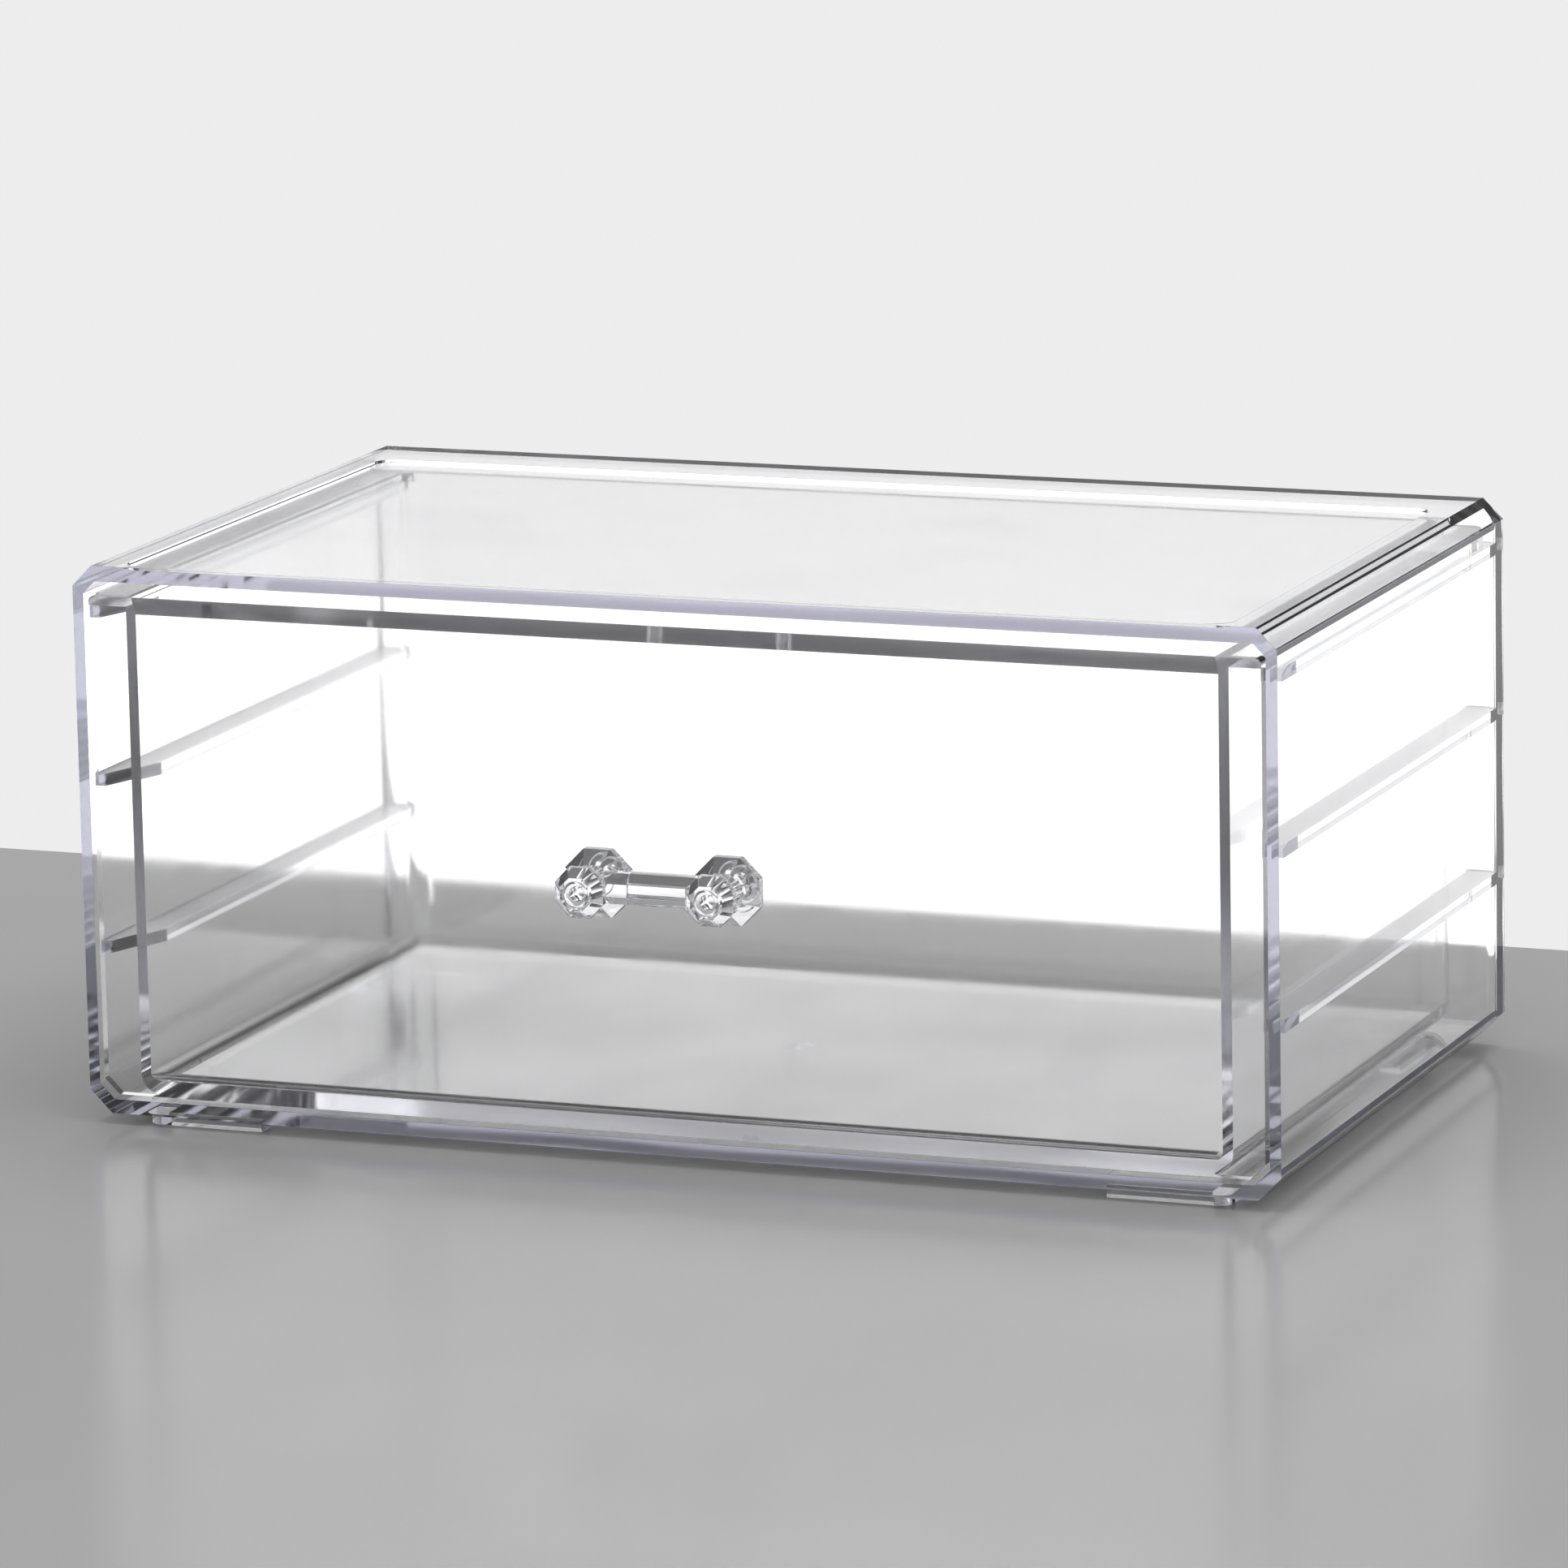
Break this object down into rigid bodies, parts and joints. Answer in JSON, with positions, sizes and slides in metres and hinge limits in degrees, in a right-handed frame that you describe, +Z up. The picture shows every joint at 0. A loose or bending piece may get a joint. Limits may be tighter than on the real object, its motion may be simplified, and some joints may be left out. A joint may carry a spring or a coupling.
{
  "type": "stackable vanity drawer box",
  "caption": "Clear open-fronted plastic case with inner side rails and a deep clear drawer hanging in it, pulled by a faceted dumbbell handle, for cosmetics and jewellery.",
  "frame": {"origin": "on the surface the feet stand on, under the middle of the whole length from the back of the case to the face of the handle's knobs, midway between the sides", "axes": "+Z up, -Y out of the front, where the drawer opens, +X to the right of someone facing +Y"},
  "size_m": [0.24, 0.1512, 0.1087],
  "materials": {
    "case_plastic": "polished clear moulded polystyrene",
    "drawer_plastic": "polished clear moulded polystyrene",
    "handle_plastic": "polished clear moulded polystyrene",
    "pin_plastic": "polished clear moulded polystyrene"
  },
  "bodies": {
    "case_body": {"case": "case_plastic"},
    "drawer_body": {"drawer": "drawer_plastic", "handle": "handle_plastic", "handle_pins": "pin_plastic"}
  },
  "joints": [
    {"name": "drawer_slide", "type": "slide", "parent": "case_body", "child": "drawer_body", "axis": [0, -1, 0], "range_m": [0, 0.11]}
  ]
}
